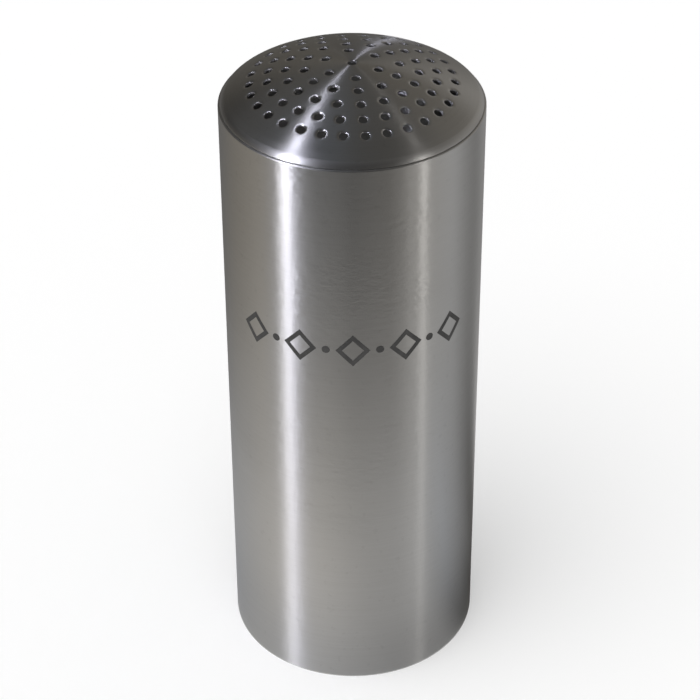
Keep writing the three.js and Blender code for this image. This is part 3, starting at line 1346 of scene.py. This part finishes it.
@dataclass
class Studio:
    """A plain white floor in soft light, with dark cards and strips for the steel to reflect."""

    floor_size: float = 12.0
    floor_level: float = 0.8
    floor_lift: float = 0.2
    world_level: float = 0.55
    sun_level: float = 1.55
    sun_angle: float = 50.0
    sun_tilt: tuple[float, float] = (18.0, -14.0)
    glimmer_radius: float = 33 * MM
    glimmer_height: float = 134 * MM
    glimmer_level: float = 0.0019
    surround: Surround = field(default_factory=Surround)
    strips: tuple[Strip, ...] = (
        Strip("key_low", -55, 1.0, 0.35, 0.17, 0.4, 1.68, (1.0, 0.99, 1.0)),
        Strip("key_middle", -55.5, 1.0, 0.75, 0.09, 0.4, 6.1, (0.82, 0.83, 1.0)),
        Strip("key_high", -52, 1.0, 1.2, 0.13, 0.5, 0.45, (0.78, 0.79, 1.0)),
        Strip("right_thin_strip", 46.4, 1.2, 0.3, 0.03, 0.9, 0.1, WARM_WHITE),
        Strip("right_strip", 58.4, 1.2, 0.3, 0.09, 0.9, 0.58, WARM_WHITE),
        Strip("right_middle_strip", 58.4, 1.2, 0.56, 0.09, 0.2, 0.4, WARM_WHITE),
    )

    def build(self) -> None:
        """Makes the world, the floor, the sun, the dark surround, the strips and the glimmer."""
        self.world()
        self.floor()
        self.sun()
        self.surround.build()
        for strip in self.strips:
            strip.build()
        self.glimmer()

    def glimmer(self) -> None:
        """Makes the faint light inside the body, so that the holes aren't quite black."""
        lamp = bpy.data.lights.new("inside_glimmer", "POINT")
        lamp.shadow_soft_size, lamp.energy = self.glimmer_radius, self.glimmer_level
        placed("inside_glimmer", lamp, "camera").location = (0, 0, self.glimmer_height)

    def world(self) -> None:
        """Lights the scene evenly, and shows white to the camera, glossy and transmission rays."""
        world = bpy.data.worlds.new("studio_world")
        n = Nodes.emptied(world)
        path = n.add("LightPath").outputs
        unlit = n.math("MAXIMUM", path["Is Glossy Ray"], path["Is Transmission Ray"])
        shown = n.math("MAXIMUM", path["Is Camera Ray"], unlit)
        soft = n.add("Background", {"Color": grey(1.0), "Strength": self.world_level})
        white = n.add("Background", {"Color": grey(1.0), "Strength": 1.0})
        both = n.add("MixShader", {0: shown, 1: soft.outputs[0], 2: white.outputs[0]})
        n.add("OutputWorld", {"Surface": both.outputs[0]})
        bpy.context.scene.world = world

    def floor(self) -> None:
        """Makes the pale floor, which keeps the shaker's shadow and looks white in reflections."""
        material, n = Nodes.of_material("pale_floor")
        path = n.add("LightPath").outputs
        reflected = n.math("MAXIMUM", path["Is Glossy Ray"], path["Is Transmission Ray"])
        matt = n.add("BsdfDiffuse", {"Color": grey(self.floor_level)})
        shown = n.math("MULTIPLY", path["Is Camera Ray"], self.floor_lift)
        lift = n.add("Emission", {"Color": grey(1.0), "Strength": shown})
        lit = n.add("AddShader", {0: matt.outputs[0], 1: lift.outputs[0]})
        white = n.add("Emission", {"Color": grey(1.0), "Strength": 1.0})
        n.surface("MixShader", {0: reflected, 1: lit.outputs[0], 2: white.outputs[0]})
        corners = np.array([[-1, -1, 0], [1, -1, 0], [1, 1, 0], [-1, 1, 0]]) * (self.floor_size / 2)
        thing = placed("floor", new_mesh("floor", Surface(corners, [[0, 1, 2, 3]]), material))

    def sun(self) -> None:
        """Makes the broad overhead lamp that gives matt surfaces their light and the floor its shadow."""
        lamp = bpy.data.lights.new("overhead", "SUN")
        lamp.energy, lamp.angle = self.sun_level, radians(self.sun_angle)
        placed("overhead", lamp, "glossy").rotation_euler = (*(radians(tilt) for tilt in self.sun_tilt), 0)


@dataclass
class Viewpoint:
    """The camera of the photograph, from a fit to the body's outline, the seam and the lid's holes."""

    distance: float = 0.732
    pitch: float = 35.913
    roll: float = -0.202
    target: float = 0.09934
    focal: float = 124.08
    sensor: float = 36.0
    shift: float = -0.0042
    clip: tuple[float, float] = (0.01, 50.0)

    def build(self) -> None:
        """Makes the camera and gives it to the scene."""
        data = bpy.data.cameras.new("viewpoint")
        data.lens, data.sensor_width, data.shift_x = self.focal, self.sensor, self.shift
        data.clip_start, data.clip_end = self.clip
        pitch, roll = radians(self.pitch), radians(self.roll)
        place = Vector((0, -self.distance * cos(pitch), self.target + self.distance * sin(pitch)))
        forward = Vector((0, cos(pitch), -sin(pitch)))
        right = Vector((1, 0, 0))
        up = right.cross(forward)
        side = cos(roll) * right + sin(roll) * up
        over = -sin(roll) * right + cos(roll) * up
        turn = Matrix((side, over, -forward)).transposed().to_4x4()
        thing = placed("viewpoint", data)
        thing.matrix_world = Matrix.Translation(place) @ turn
        bpy.context.scene.camera = thing


def main() -> None:
    """Builds the studio and the shaker, and reports each piece."""
    logging.basicConfig(level=logging.INFO, format="%(name)s %(message)s")
    bpy.context.scene.view_settings.view_transform = "Standard"
    Viewpoint().build()
    Studio().build()
    canister_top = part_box("body_tube")[1].z
    finishes = Finishes.mixed(Shop.opened(), canister_top)
    Canister(finishes).build()
    dome = PerforatedDome(finishes)
    dome.build()
    PlugSkirt(finishes, dome).build()
    SealRing(finishes, "upper_silicone_ring", "upper_seal_ring").build()
    SealRing(finishes, "lower_silicone_ring", "lower_seal_ring").build()


if __name__ == "__main__":
    main()
